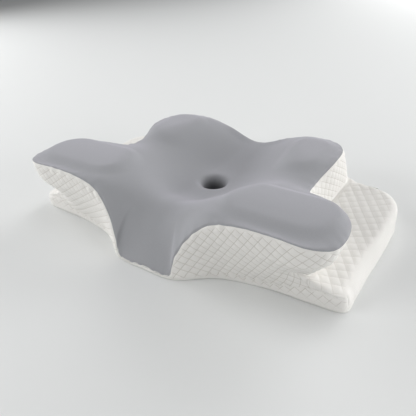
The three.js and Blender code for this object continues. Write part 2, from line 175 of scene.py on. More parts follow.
LAPS = 2 * LAST
SKIRT, ARM_START, ARM_END, BACK_START = 1, 7, 16, 17
CORNER = 8.31
mirrored = stations[1:LAST][::-1] * np.array([-1, 1, 1])
ring_points = np.concatenate([stations, mirrored])
print("stations on the whole ring:", len(ring_points))


# %% Smooth rings through the stations
def smooth_ring(points, at):
    """Centripetal Catmull-Rom curve through a closed ring, at places counted in stations."""
    start = np.floor(at).astype(int)
    w = (at - start)[:, None]
    p = [points[(start + k) % len(points)] for k in (-1, 0, 1, 2)]
    gap = [np.maximum(np.linalg.norm(p[k + 1] - p[k], axis=1), 1e-9) ** 0.5 for k in range(3)]
    a, b, c = (g[:, None] for g in gap)
    out = ((p[1] - p[0]) / a - (p[2] - p[0]) / (a + b) + (p[2] - p[1]) / b) * b
    into = ((p[2] - p[1]) / b - (p[3] - p[1]) / (b + c) + (p[3] - p[2]) / c) * b
    cubic = 2 * p[1] - 2 * p[2] + out + into
    square = -3 * p[1] + 3 * p[2] - 2 * out - into
    return p[1] + out * w + square * w ** 2 + cubic * w ** 3


def rings(at):
    """Seam, wall, foot, edge and base rings, with the back kept flat behind the zip."""
    found = [smooth_ring(ring_points[:, k], at) for k in range(5)]
    for ring in found[1:]:
        ring[:, 1] = np.minimum(ring[:, 1], BACK_PLANE)
    return found


# %% The height of the top
def ease(low, high, value):
    k = np.clip((value - low) / (high - low), 0, 1)
    return k * k * (3 - 2 * k)


def hump(value, centre, width):
    return np.exp(-(((value - centre) / width) ** 2))


def pad_shape(a, y, centre, half, soft):
    """1 on a pad shaped like a rounded rectangle, falling softly to 0 at its rim."""
    corner = min(half) * 0.9
    dx = np.maximum(np.abs(a - centre[0]) - half[0] + corner, 0)
    dy = np.maximum(np.abs(y - centre[1]) - half[1] + corner, 0)
    return ease(0, soft, corner - np.hypot(dx, dy))


def top_height(x, y):
    a = np.abs(x)
    middle_line = BOWL + NECK_ROLL * hump(y, -0.138, 0.05) + 0.015 * ease(0.04, 0.175, y)
    notch = 0.015 * hump(y, -0.002, 0.038) * ease(0.1, 0.195, a)
    wing = WING + 0.006 * hump(y, -0.12, 0.062) - notch - 0.004 * ease(0.12, 0.18, y)
    valley = 0.008 + 0.02 * hump(y, 0, 0.09)
    slope_end = 0.122 + 0.048 * hump(y, 0, 0.08)
    front_pad = pad_shape(a, y, (0.190, -0.112), (0.100, 0.062), 0.024)
    back_pad = pad_shape(a, y, (0.143, 0.088), (0.050, 0.072), 0.026)
    k = ease(valley, slope_end, a)
    return middle_line * (1 - k) + wing * k + PAD * (front_pad + back_pad)


probe = [(0, 0.05), (0.19, -0.106), (0.14, 0.09)]
heights = [float(top_height(np.array(x), np.array(y))) / MM for x, y in probe]
print("bowl, front wing and back wing stand at", [round(h, 1) for h in heights], "mm")

# %% [markdown]
# ## One skin, in rows
#
# Each place round the pillow gives a column of points: from the bottom of the hollow, up its
# side, over the top to the seam, down the wall to its foot, out over the armrest, down its side
# and under the lip to the base. Foam has no sharp corners, so each column is smoothed along its
# length. The lowest rows stay as they are, since the pillow lies flat.


# %% Columns of the skin
def skin(per_station):
    """Grid of points, columns by rows, with the row numbers where each panel begins."""
    at = np.arange(LAPS * per_station + 1) / per_station
    seam, wall, foot, edge, base = rings(at % LAPS)
    count = len(at)
    parts = []

    angle = np.arctan2(seam[:, 1], seam[:, 0])
    outward = np.stack([np.cos(angle), np.sin(angle)], axis=1)
    radius = np.array([0, 14, 18, 21, 28]) * MM
    rim = top_height(HOLLOW_RADIUS * outward[:, 0], HOLLOW_RADIUS * outward[:, 1])
    level = HOLLOW_FLOOR + np.array([0, 2, 18, 33]) * MM
    for r in np.linspace(0, 1, 22, endpoint=False):
        k = r * 4
        n = int(k)
        low = level[n]
        high = level[n + 1] if n < 3 else rim
        z = low + (high - low) * (k - n)
        out = radius[n] + (radius[n + 1] - radius[n]) * (k - n)
        parts.append(np.column_stack([outward * out, np.broadcast_to(z, count)]))

    station = np.minimum(at, LAPS - at)
    narrow = ease(2.5, 4.5, station)
    for step in 1 - np.linspace(1, 0, 84, endpoint=False) ** 1.25:
        plan = HOLLOW_RADIUS * outward * (1 - step) + seam[:, :2] * step
        inside = np.linalg.norm(seam[:, :2] - plan, axis=1)
        wide_roll = np.clip((step - 0.74) / 0.26, 0, 1) ** 2
        edge_roll = np.clip(1 - inside / (24 * MM), 0, 1) ** 1.7
        roll = wide_roll * (1 - narrow) + edge_roll * narrow
        z = top_height(plan[:, 0], plan[:, 1]) * (1 - roll) + seam[:, 2] * roll
        parts.append(np.column_stack([plan, z]))

    marks = {"seam": len(parts)}
    flare = ease(0, 4 * MM, np.linalg.norm(base[:, :2], axis=1) - np.linalg.norm(edge[:, :2], axis=1))
    share = (0.25 + 0.65 * flare)[:, None]
    lip = edge * (1 - share) + base * share
    lip[:, 2] = LIP
    legs = [
        ("wall", seam, wall, 26),
        ("foot", wall, foot, 24),
        ("edge", foot, edge, 44),
        ("lip", edge, lip, 18),
    ]
    for name, start, end, rows in legs:
        for k in np.linspace(0, 1, rows, endpoint=False):
            parts.append(start * (1 - k) + end * k)
        marks[name] = len(parts)
    for k in np.linspace(0, 1, 4):
        parts.append(lip * (1 - k) + base * k)
    marks["base"] = len(parts) - 1
    return at, np.stack(parts, axis=1), marks


def along_rows(grid):
    """Distance along each column from its first point."""
    steps = np.linalg.norm(np.diff(grid, axis=1), axis=2)
    return np.concatenate([np.zeros((len(grid), 1)), np.cumsum(steps, axis=1)], axis=1)


def soften(grid, marks, blur):
    """Rounds every column along its length, and leaves the lip and base rows where they are."""
    reach = along_rows(grid)
    softer = grid.copy()
    spacing = 1 * MM
    taps = np.arange(-20, 21)
    weights = np.exp(-0.5 * (taps * spacing / blur) ** 2)
    weights /= weights.sum()
    for i, column in enumerate(grid):
        places = np.arange(0, reach[i, -1], spacing)
        for axis in range(3):
            line = np.interp(places, reach[i], column[:, axis])
            ends = [2 * line[0] - line[1:21][::-1], line, 2 * line[-1] - line[-21:-1][::-1]]
            smooth = np.convolve(np.concatenate(ends), weights, mode="valid")
            softer[i, :, axis] = np.interp(reach[i], places, smooth)
    rows = np.arange(grid.shape[1])
    held = 1 - ease(marks["edge"] + 6, marks["lip"], rows)
    held[: 4] = 0
    return grid + (softer - grid) * held[None, :, None]


def round_armrest(grid, marks):
    """Gives the armrest's outer edge the large radius of a moulded foam edge."""
    rounder = soften(grid, marks, 9 * MM)
    place = np.minimum(at, LAPS - at)
    side = ease(ARM_START + 1.2, ARM_START + 1.9, place)
    reach = along_rows(grid)
    near_edge = hump(reach, reach[:, marks["edge"]][:, None], 22 * MM)
    return grid + (rounder - grid) * (near_edge * side[:, None])[:, :, None]


def normals(grid):
    """Outward unit normal at every point of a closed ring of columns."""
    ring = grid[:-1]
    across = np.roll(ring, -1, axis=0) - np.roll(ring, 1, axis=0)
    down = np.gradient(ring, axis=1)
    found = np.cross(down, across)
    found /= np.maximum(np.linalg.norm(found, axis=2, keepdims=True), 1e-12)
    return np.concatenate([found, found[:1]])


PER_STATION = 26
at, raw, marks = skin(PER_STATION)
smooth = round_armrest(soften(raw, marks, 3.5 * MM), marks)
out = normals(smooth)
down = along_rows(smooth)
smooth[:, :, 1] += hollow_y
print("skin", smooth.shape, marks, "highest", round(smooth[:, :, 2].max() / MM, 1), "mm")

# %% [markdown]
# ## Flat cloth coordinates
#
# Quilting is stitched on flat cloth before it is cut, so the pattern has to be laid out in flat
# coordinates. On the walls these are the distance round the pillow and the distance down from
# the seam. On an armrest they are its plan, carried on over the edge. The gathers at the seam
# come from easing the stretched jersey onto the quilted wall.


# %% Flat coordinates, seam dips and gathers
wall_steps = np.linalg.norm(np.diff(smooth[:, marks["wall"]], axis=0), axis=1)
round_wall = np.concatenate([[0], np.cumsum(wall_steps)])
below_seam = down - down[:, marks["seam"]][:, None]
below_foot = down - down[:, marks["foot"]][:, None]
below_edge = down - down[:, marks["edge"]][:, None]
edge_out = out[:, marks["edge"] + 8, :2]
edge_out = edge_out / np.linalg.norm(edge_out, axis=1, keepdims=True)
arm_flat = smooth[:, :, :2] + edge_out[:, None] * np.maximum(below_edge, 0)[:, :, None]
back_flat = smooth[:, :, [0, 2]]
side_x = np.abs(smooth[:, :, 0])
station = np.minimum(at, LAPS - at)
walk = np.minimum(round_wall, round_wall[-1] - round_wall)
turning = int((ARM_START - 1) * PER_STATION)
walk = walk - walk[turning] + side_x[turning, marks["wall"]]
bend = ease(ARM_START - 1, ARM_START + 0.4, station)[:, None] * (below_edge < 0)
height_down = smooth[:, marks["seam"], 2][:, None] - below_seam
height_down = np.where(below_edge < 0, height_down, smooth[:, :, 2])
wall_flat = np.stack([side_x * (1 - bend) + walk[:, None] * bend, height_down], axis=2)
print("once round the wall:", round(float(round_wall[-1]), 3), "m")


def gathers(place, seed):
    """Uneven small waves along a seam, from about -1 to 1."""
    rng = np.random.default_rng(seed)
    wave = np.zeros_like(place)
    for _ in range(7):
        length = rng.uniform(8, 24) * MM
        turns = max(1, round(float(round_wall[-1]) / length))
        wave += np.sin(2 * math.pi * turns * place / round_wall[-1] + rng.uniform(0, 7))
    return wave / 3.2


def dip(distance, depth, width):
    """A rounded groove, where a row of stitches pulls the cloth in."""
    return -depth * np.exp(-((distance / width) ** 2))


at_arm = ease(ARM_START - 0.1, ARM_START + 0.1, station) * (1 - ease(ARM_END - 0.1, ARM_END + 0.1, station))
shape = smooth.copy()
waves = gathers(round_wall, 4)[:, None]
push = dip(below_seam, 0.8 * MM, 1.8 * MM)
push += 0.55 * MM * waves * np.exp(-np.abs(below_seam + 3 * MM) / (7 * MM)) * (below_seam < 0)
push += 0.7 * MM * waves * np.exp(-np.abs(below_seam - 4 * MM) / (8 * MM)) * (below_seam >= 0)
push += dip(below_foot, 1.6 * MM, 3 * MM) * at_arm[:, None]
front_face = ease(ARM_START - 0.2, ARM_START + 0.2, station) * (1 - ease(CORNER, CORNER + 0.2, station))
push += dip(below_edge, 1.0 * MM, 2.4 * MM) * front_face[:, None]
push += dip((station - CORNER)[:, None] * 30 * MM, 1.2 * MM, 2.2 * MM) * ease(-2 * MM, 4 * MM, below_edge)
held = 1 - ease(marks["edge"] + 8, marks["lip"], np.arange(shape.shape[1]))
shape += out * (push * held[None, :])[:, :, None]
print("deepest seam groove", round(float(push.min()) / MM, 2), "mm")

# %% [markdown]
# ## Materials
#
# The jersey is a heathered grey stretch knit. The quilted knit is a warm white fabric with fine
# ribs, quilted with a pale beige thread. Thread colour follows the flat coordinates, so it lies
# exactly in the sunk lines. Foam, woven tape, nylon teeth, satin ribbon and nickel plate are
# each simple procedural finishes.

# %% Helpers for materials
WALL_QUILT = 11.4 * MM
ARM_QUILT = 15.0 * MM
WALL_PUFF = 1.1 * MM
ARM_PUFF = 1.2 * MM
WALL_TURN = -12  # degrees that the quilting is turned on the walls
ARM_TURN = 11


def add(tree, kind, **values):
    """A node with its inputs set by name, joined where a value is another node's output."""
    node = tree.nodes.new(kind)
    for key, value in values.items():
        if hasattr(node, key) and key.islower() and key not in node.inputs:
            setattr(node, key, value)
            continue
        target = node.inputs[key.replace("_", " ")]
        if isinstance(value, bpy.types.NodeSocket):
            tree.links.new(value, target)
        else:
            target.default_value = value
    return node


def calc(tree, operation, *values):
    node = tree.nodes.new("ShaderNodeMath")
    node.operation = operation
    for k, value in enumerate(values):
        if isinstance(value, bpy.types.NodeSocket):
            tree.links.new(value, node.inputs[k])
        else:
            node.inputs[k].default_value = value
    return node.outputs[0]


def finish_of(name, colour, roughness, sheen=0.0, metal=0.0):
    material = bpy.data.materials.new(name)
    tree, surface = shader(material)
    surface.inputs["Base Color"].default_value = (*colour, 1)
    surface.inputs["Roughness"].default_value = roughness
    surface.inputs["Sheen Weight"].default_value = sheen
    surface.inputs["Sheen Roughness"].default_value = 0.5
    surface.inputs["Metallic"].default_value = metal
    surface.inputs["Specular IOR Level"].default_value = 0.5 if metal else 0.2
    return material, tree, surface


def bump(tree, surface, height, distance, strength=1.0):
    node = add(tree, "ShaderNodeBump", Height=height, Distance=distance, Strength=strength)
    tree.links.new(node.outputs[0], surface.inputs["Normal"])


def mottle(tree, surface, colour, place, scale, amount):
    """Colour that varies a little from thread to thread."""
    noise = add(tree, "ShaderNodeTexNoise", Vector=place, Scale=scale, Detail=3.0)
    shift = calc(tree, "MULTIPLY_ADD", noise.outputs["Fac"], 2 * amount, 1 - amount)
    tint = add(tree, "ShaderNodeVectorMath", operation="SCALE", Scale=shift)
    tint.inputs[0].default_value = colour
    tree.links.new(tint.outputs[0], surface.inputs["Base Color"])
    return tint.outputs[0]


def ribs(tree, place, pitch):
    """Height of fine knit ribs, with a stitch every pitch along each."""
    parts = add(tree, "ShaderNodeSeparateXYZ", Vector=place)
    turn_rate = 2 * math.pi / pitch
    across = calc(tree, "SINE", calc(tree, "MULTIPLY", parts.outputs[0], turn_rate))
    along = calc(tree, "SINE", calc(tree, "MULTIPLY", parts.outputs[1], turn_rate))
    rows = calc(tree, "MULTIPLY", across, 0.5)
    stitches = calc(tree, "MULTIPLY", calc(tree, "MULTIPLY", across, along), 0.5)
    return calc(tree, "ADD", rows, stitches)


def thread_lines(tree, place, spacing, width):
    """1 on the quilting lines, 0 between them."""
    parts = add(tree, "ShaderNodeSeparateXYZ", Vector=place)
    found = []
    for sign in ("ADD", "SUBTRACT"):
        mixed = calc(tree, sign, parts.outputs[0], parts.outputs[1])
        turns = calc(tree, "MULTIPLY", mixed, math.pi / (spacing * math.sqrt(2)))
        wave = calc(tree, "ABSOLUTE", calc(tree, "SINE", turns))
        away = calc(tree, "SMOOTH_MIN", calc(tree, "DIVIDE", wave, width), 1.0, 0.1)
        found.append(calc(tree, "SUBTRACT", 1.0, away))
    return calc(tree, "MAXIMUM", calc(tree, "MAXIMUM", *found), 0.0)


# %% [markdown]
# ### Jersey
#
# The knit inside the hollow is coloured darker than the rest. That is deep shade painted into the
# finish, and not a second fabric. A deeper hollow would give real shade, but the foam sets its
# depth. Radius and height pick out the hollow, and both fade over a few millimetres.

# %% Jersey
def mottled(name, colour, roughness, scale, amount, sheen=0.0, metal=0.0):
    """A finish whose colour varies from thread to thread, placed on Object coordinates."""
    material, tree, surface = finish_of(name, colour, roughness, sheen, metal)
    place = add(tree, "ShaderNodeTexCoord").outputs["Object"]
    varied = mottle(tree, surface, colour, place, scale, amount)
    return material, tree, surface, place, varied


def ramp(tree, value, start, slope):
    """0 where value is above start, rising to 1 as it falls below."""
    rise = calc(tree, "MULTIPLY", calc(tree, "SUBTRACT", start, value), slope)
    return calc(tree, "MINIMUM", calc(tree, "MAXIMUM", rise, 0.0), 1.0)


SHADE_RADIUS = 28 * MM
SHADE_TOP = 63 * MM
jersey, tree, surface, place, yarn = mottled("jersey", (0.345, 0.35, 0.365), 0.85, 900.0, 0.09, sheen=0.22)
surface.inputs["Sheen Tint"].default_value = (0.84, 0.77, 0.94, 1)
parts = add(tree, "ShaderNodeSeparateXYZ", Vector=place)
behind = calc(tree, "SUBTRACT", parts.outputs[1], hollow_y)
square = calc(tree, "ADD", calc(tree, "POWER", parts.outputs[0], 2.0), calc(tree, "POWER", behind, 2.0))
within = ramp(tree, calc(tree, "SQRT", square), SHADE_RADIUS, 200.0)
depth = ramp(tree, parts.outputs[2], SHADE_TOP, 45.0)
kept = calc(tree, "SUBTRACT", 1.0, calc(tree, "MULTIPLY", calc(tree, "MULTIPLY", within, depth), 0.6))
shaded = add(tree, "ShaderNodeVectorMath", operation="SCALE", Scale=kept)
tree.links.new(yarn, shaded.inputs[0])
tree.links.new(shaded.outputs[0], surface.inputs["Base Color"])
bump(tree, surface, ribs(tree, place, 1.1 * MM), 0.12 * MM, 0.5)


def quilted(name, spacing, lines):
    """Warm white knit. lines is how strongly the quilting thread shows."""
    colour = (0.80, 0.785, 0.755)
    material, tree, surface = finish_of(name, colour, 0.9, sheen=0.12)
    place = add(tree, "ShaderNodeAttribute", attribute_name="flat").outputs["Vector"]
    plain = mottle(tree, surface, colour, place, 700.0, 0.04)
    mask = add(tree, "ShaderNodeAttribute", attribute_name="hold").outputs["Fac"]
    strength = calc(tree, "MULTIPLY", mask, lines)
    line = calc(tree, "MULTIPLY", thread_lines(tree, place, spacing, 0.19), strength)
    mix = add(tree, "ShaderNodeMix", data_type="RGBA")
    tree.links.new(line, mix.inputs[0])
    tree.links.new(plain, mix.inputs[6])
    mix.inputs[7].default_value = (0.50, 0.47, 0.42, 1)
    tree.links.new(mix.outputs[2], surface.inputs["Base Color"])
    bump(tree, surface, ribs(tree, place, 1.3 * MM), 0.12 * MM, 0.5)
    return material


wall_knit = quilted("quilted_knit_wall", WALL_QUILT, 0.85)
arm_knit = quilted("quilted_knit_armrest", ARM_QUILT, 0.35)

# %% [markdown]
# ### Base knit, threads, foam, zip and ribbon
#
# The other finishes differ in colour, roughness and grain only, so one helper makes them all. A
# bump of ribs, cells or weave is added where the grain could be felt with a finger.

# %% Other finishes
base_knit, tree, surface, place, _ = mottled("base_knit", (0.82, 0.81, 0.78), 0.9, 700.0, 0.04, sheen=0.1)
bump(tree, surface, ribs(tree, place, 1.3 * MM), 0.12 * MM, 0.5)
roll_knit = mottled("seam_roll_knit", (0.34, 0.345, 0.36), 0.9, 900.0, 0.12, sheen=0.1)[0]
grey_thread = mottled("grey_thread", (0.34, 0.35, 0.375), 0.7, 2500.0, 0.15)[0]
white_thread = mottled("white_thread", (0.83, 0.82, 0.79), 0.7, 2500.0, 0.08)[0]

foam, tree, surface, place, _ = mottled("memory_foam", (0.82, 0.80, 0.75), 0.95, 350.0, 0.08)
cells = add(tree, "ShaderNodeTexVoronoi", Vector=place, Scale=900.0)
bump(tree, surface, cells.outputs["Distance"], 0.25 * MM, 0.7)

tape_weave, tree, surface, place, _ = mottled("zip_tape_weave", (0.80, 0.79, 0.76), 0.85, 1500.0, 0.06)
weave = add(tree, "ShaderNodeTexWave", Vector=place, Scale=300.0, bands_direction="X", Distortion=0.6)
bump(tree, surface, weave.outputs["Fac"], 0.1 * MM, 0.6)
nylon = mottled("zip_nylon", (0.82, 0.81, 0.78), 0.4, 400.0, 0.04)[0]

nickel, tree, surface, place, _ = mottled("satin_nickel", (0.66, 0.66, 0.67), 0.32, 500.0, 0.06, metal=1.0)
grain = add(tree, "ShaderNodeTexNoise", Vector=place, Scale=2500.0, Detail=2.0)
bump(tree, surface, grain.outputs["Fac"], 0.02 * MM, 0.5)

ribbon, tree, surface, place, _ = mottled("satin_ribbon", (0.86, 0.86, 0.84), 0.35, 900.0, 0.03, sheen=0.1)
weave = add(tree, "ShaderNodeTexWave", Vector=place, Scale=500.0, bands_direction="Z", Distortion=0.3)
bump(tree, surface, weave.outputs["Fac"], 0.04 * MM, 0.5)
print("materials", sorted(m.name for m in bpy.data.materials))

# %% [markdown]
# ## Quilting as a Geometry Nodes tree
#
# The quilting repeats over five panels, so one tree makes it. It reads each point's flat
# coordinates and pushes the point out along its normal, by the product of two waves at 45
# degrees: zero on the stitched lines and fullest in the middle of each diamond. A low power of
# the wave gives plump diamonds with narrow lines. The hold attribute fades it out at the seams.


# %% The quilting tree
def new_tree(name, sockets):
    """An empty Geometry Nodes tree with named inputs."""
    tree = bpy.data.node_groups.new(name, "GeometryNodeTree")
    tree.interface.new_socket("Geometry", in_out="INPUT", socket_type="NodeSocketGeometry")
    for title, kind in sockets:
        tree.interface.new_socket(title, in_out="INPUT", socket_type="NodeSocket" + kind)
    tree.interface.new_socket("Geometry", in_out="OUTPUT", socket_type="NodeSocketGeometry")
    return tree, tree.nodes.new("NodeGroupInput"), tree.nodes.new("NodeGroupOutput")


def named(tree, attribute, kind):
    node = tree.nodes.new("GeometryNodeInputNamedAttribute")
    node.data_type = kind
    node.inputs["Name"].default_value = attribute
    return node.outputs["Attribute"]


quilting_inputs = [("Spacing", "Float"), ("Puff", "Float"), ("Fabric", "Material")]
quilting, given, result = new_tree("quilting", quilting_inputs)
flat = add(quilting, "ShaderNodeSeparateXYZ", Vector=named(quilting, "flat", "FLOAT_VECTOR"))
waves_found = []
for sign in ("ADD", "SUBTRACT"):
    mixed = calc(quilting, sign, flat.outputs[0], flat.outputs[1])
    diagonal = calc(quilting, "MULTIPLY", given.outputs["Spacing"], math.sqrt(2))
    turns = calc(quilting, "DIVIDE", mixed, diagonal)
    wave = calc(quilting, "ABSOLUTE", calc(quilting, "SINE", calc(quilting, "MULTIPLY", turns, math.pi)))
    waves_found.append(calc(quilting, "POWER", wave, 0.55))
height = calc(quilting, "MULTIPLY", calc(quilting, "MULTIPLY", *waves_found), given.outputs["Puff"])
height = calc(quilting, "MULTIPLY", height, named(quilting, "hold", "FLOAT"))
move = add(quilting, "ShaderNodeVectorMath", operation="SCALE", Scale=height)
quilting.links.new(quilting.nodes.new("GeometryNodeInputNormal").outputs[0], move.inputs[0])
placed = add(quilting, "GeometryNodeSetPosition", Geometry=given.outputs["Geometry"], Offset=move.outputs[0])
whole = add(quilting, "GeometryNodeRealizeInstances", Geometry=placed.outputs[0])
fabric = given.outputs["Fabric"]
dressed = add(quilting, "GeometryNodeSetMaterial", Geometry=whole.outputs[0], Material=fabric)
quilting.links.new(dressed.outputs[0], result.inputs[0])
print("quilting tree with", len(quilting.nodes), "nodes")


# %% Putting a tree on an object
def with_tree(obj, tree, **values):
    """Adds the tree as a modifier, and sets its inputs by their sockets' identifiers."""
    modifier = obj.modifiers.new(tree.name, "NODES")
    modifier.node_group = tree
    for item in tree.interface.items_tree:
        if item.in_out == "INPUT" and item.name in values:
            modifier[item.identifier] = values[item.name]
    return modifier


def settle(obj):
    """Turns the object with its modifiers into a plain mesh."""
    bpy.context.view_layer.update()
    deps = bpy.context.evaluated_depsgraph_get()
    ready = obj.evaluated_get(deps)
    mesh = bpy.data.meshes.new_from_object(ready, preserve_all_data_layers=True, depsgraph=deps)
    obj.modifiers.clear()
    obj.data = mesh
    mesh.name = obj.name
    mesh.shade_smooth()
    return obj


def put(name, mesh):
    obj = bpy.data.objects.new(name, mesh)
    bpy.context.scene.collection.objects.link(obj)
    return obj


def lay_out(obj, flat, degrees):
    """Stores flat cloth coordinates, turned a little as the quilting is on the real fabric."""
    turn = math.radians(degrees)
    x = flat[:, 0] * math.cos(turn) - flat[:, 1] * math.sin(turn)
    y = flat[:, 0] * math.sin(turn) + flat[:, 1] * math.cos(turn)
    layer = obj.data.attributes.new("flat", "FLOAT_VECTOR", "POINT")
    layer.data.foreach_set("vector", np.column_stack([x, y, 0 * x]).astype(np.float32).ravel())


def panel(name, points, cells, flat=None, hold=None, degrees=0):
    """A mesh of the chosen cells of a grid of points."""
    rows = points.shape[1]
    i, j = np.nonzero(cells)
    corner = i * rows + j
    quads = np.stack([corner, corner + 1, corner + rows + 1, corner + rows], axis=1)
    used, quads = np.unique(quads, return_inverse=True)
    mesh = bpy.data.meshes.new(name)
    mesh.from_pydata(points.reshape(-1, 3)[used].tolist(), [], quads.reshape(-1, 4).tolist())
    if hold is not None:
        layer = mesh.attributes.new("hold", "FLOAT", "POINT")
        layer.data.foreach_set("value", hold.reshape(-1)[used].astype(np.float32))
    mesh.shade_smooth()
    obj = put(name, mesh)
    if flat is not None:
        lay_out(obj, flat.reshape(-1, 2)[used], degrees)
    return obj


def thicken(obj, thickness):
    modifier = obj.modifiers.new("cloth_thickness", "SOLIDIFY")
    modifier.thickness = thickness
    modifier.offset = -1
    modifier.use_even_offset = False


def soft_piece(obj, node):
    """Puts a padded piece on the pillow in place of a CAD node, and hides that node."""
    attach(obj, BODY)
    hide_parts(node)
    print(obj.name, "triangles", sum(len(f.vertices) - 2 for f in obj.data.polygons))
    return obj


# %% [markdown]
# ## The walls, armrests and back
#
# Each panel takes its own cells of the skin. The wall runs down to the base along the front
# and stops at its foot where an armrest begins. The armrest runs from there out over its edge and
# down to the lip. The back panel ends above the zip.

# %% Quilted panels
rows = np.arange(shape.shape[1] - 1)
middles = (at[:-1] + at[1:]) / 2
near = np.minimum(middles, LAPS - middles)
seam_row, foot_row, edge_row, lip_row = (marks[k] for k in ("seam", "foot", "edge", "lip"))
in_arm = (near > ARM_START) & (near < ARM_END)
is_right = middles < LAST

seam_hold = ease(2 * MM, 9 * MM, below_seam)
foot_hold = 1 - at_arm[:, None] * (1 - ease(2 * MM, 9 * MM, -below_foot))
lip_hold = 1 - ease(marks["edge"] + 4, marks["lip"] - 1, np.arange(shape.shape[1]))[None, :]
lip_hold = np.where(below_foot > 0, lip_hold, 1)
wall_hold = seam_hold * np.where(below_foot < 0, foot_hold, 1) * lip_hold
plain_side = ease(-14 * MM, -2 * MM, below_edge)
plain_front = 1 - ease(-8 * MM, -2 * MM, below_edge) * front_face[:, None]
arm_hold = ease(2 * MM, 8 * MM, below_foot) * (1 - plain_side) * plain_front
front_hold = ease(2 * MM, 8 * MM, below_edge) * (1 - ease(CORNER - 0.35, CORNER - 0.05, station)[:, None])
on_front = (station[:, None] > ARM_START) & (below_edge > 0)
wall_hold = np.where(on_front, wall_hold * front_hold, wall_hold)


def quilted_panel(name, cells, flat, hold, fabric, spacing, puff, degrees):
    obj = panel(name, shape, cells, flat, hold, degrees)
    with_tree(obj, quilting, Spacing=spacing, Puff=puff, Fabric=fabric)
    thicken(obj, 1.2 * MM)
    return settle(obj)


for side, chosen in (("right", is_right), ("left", ~is_right)):
    of_wall = (near > SKIRT) & (near < BACK_START) & chosen
    upper = (rows >= seam_row) & (rows < foot_row)
    lower = (rows >= foot_row) & (rows < lip_row)
    below_edge_row = (rows >= edge_row) & (rows < lip_row)
    over_corner = in_arm & (near < CORNER)
    cells = (of_wall[:, None] & upper[None, :]) | ((of_wall & ~in_arm)[:, None] & lower[None, :])
    face = (over_corner & chosen)[:, None] & below_edge_row[None, :]
    cells |= face
    wall = quilted_panel(
        f"quilted_wall_{side}", cells, wall_flat, wall_hold, wall_knit, WALL_QUILT, WALL_PUFF, WALL_TURN
    )
    soft_piece(wall, f"wall_cover_{side}")
    cells = (in_arm & chosen)[:, None] & lower[None, :] & ~face
    arm = quilted_panel(
        f"quilted_armrest_{side}", cells, arm_flat, arm_hold, arm_knit, ARM_QUILT, ARM_PUFF, ARM_TURN
    )
    soft_piece(arm, f"armrest_cover_{side}")

cells = (near > BACK_START)[:, None] & ((rows >= seam_row) & (rows < foot_row + 3))[None, :]
back_hold = seam_hold * (1 - ease(-8 * MM, -2 * MM, below_foot))
back_panel = quilted_panel("quilted_back", cells, back_flat, back_hold, wall_knit, WALL_QUILT, WALL_PUFF, 0)
soft_piece(back_panel, "back_cover")

# %% [markdown]
# ## The jersey top
#
# One panel of stretch jersey covers the bowl, the hollow, the neck roll and all four wings. It is
# pulled tight over the foam, so it needs no folds of its own beyond the gathers at the seam. It
# uses every other column of the skin, which is fine enough for a smooth surface.

# %% Top panel
def pole(obj):
    """Joins the points that meet at the middle of a disc."""
    bm = bmesh.new()
    bm.from_mesh(obj.data)
    bmesh.ops.remove_doubles(bm, verts=bm.verts, dist=1e-6)
    bm.to_mesh(obj.data)
    bm.free()


top_grid = shape[::2]
cells = np.zeros((len(top_grid) - 1, shape.shape[1] - 1), bool)
cells[:, :seam_row] = True
top = panel("jersey_top", top_grid, cells)
pole(top)
top.data.materials.append(jersey)
thicken(top, 1.2 * MM)
settle(top)
soft_piece(top, "top_panel")

# %% [markdown]
# ## The base
#
# A plain white knit panel closes the underside. It turns up over the bottom edge as a narrow lip,
# which shows as a thin white line all round, and it fills the low arch in the middle of the front.

# %% Base panel
base_rows = shape[:, lip_row:]
rim = base_rows[:, -1]
shrinks = (0.97, 0.9, 0.75, 0.55, 0.35, 0.15, 0)
rings_in = [rim * [k, k, 1] + np.array([0, (1 - k) * hollow_y, 0]) for k in shrinks]
base_grid = np.concatenate([base_rows, np.stack(rings_in, axis=1)], axis=1)[::2]
cells = np.ones((len(base_grid) - 1, base_grid.shape[1] - 1), bool)
base = panel("base_panel_knit", base_grid, cells)
pole(base)
base.data.materials.append(base_knit)
thicken(base, 1.2 * MM)
settle(base)
soft_piece(base, "base_panel")

cells = (near < SKIRT)[:, None] & ((rows >= seam_row) & (rows < lip_row))[None, :]
skirt = panel("base_skirt", shape, cells)
skirt.data.materials.append(base_knit)
thicken(skirt, 1.2 * MM)
settle(skirt)
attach(skirt, BODY)

# %% [markdown]
# ## The foam core
#
# The core is a closed block of moulded foam that fills the cover. It is hidden on the finished
# pillow, but it shows when the zip is open or the cover is taken off in another scene. The CAD
# core is remeshed finely and smoothed, which rounds its edges as a foam mould does.

# %% Foam block
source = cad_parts["foam_core"].data.copy()
foam_block = put("foam_block", source)
remesh = foam_block.modifiers.new("even_faces", "REMESH")
remesh.mode = "VOXEL"
remesh.voxel_size = 4 * MM
relax = foam_block.modifiers.new("relax", "SMOOTH")
relax.factor = 0.5
relax.iterations = 6
settle(foam_block)
foam_block.data.materials.clear()
foam_block.data.materials.append(foam)
soft_piece(foam_block, "foam_core")

# %% [markdown]
# ## Stitches and teeth as a Geometry Nodes tree
#
# Overlock stitches, top-stitching and zip teeth all repeat along a line, so one tree places
# them: a small rounded bar at every point, turned along that point's own direction.


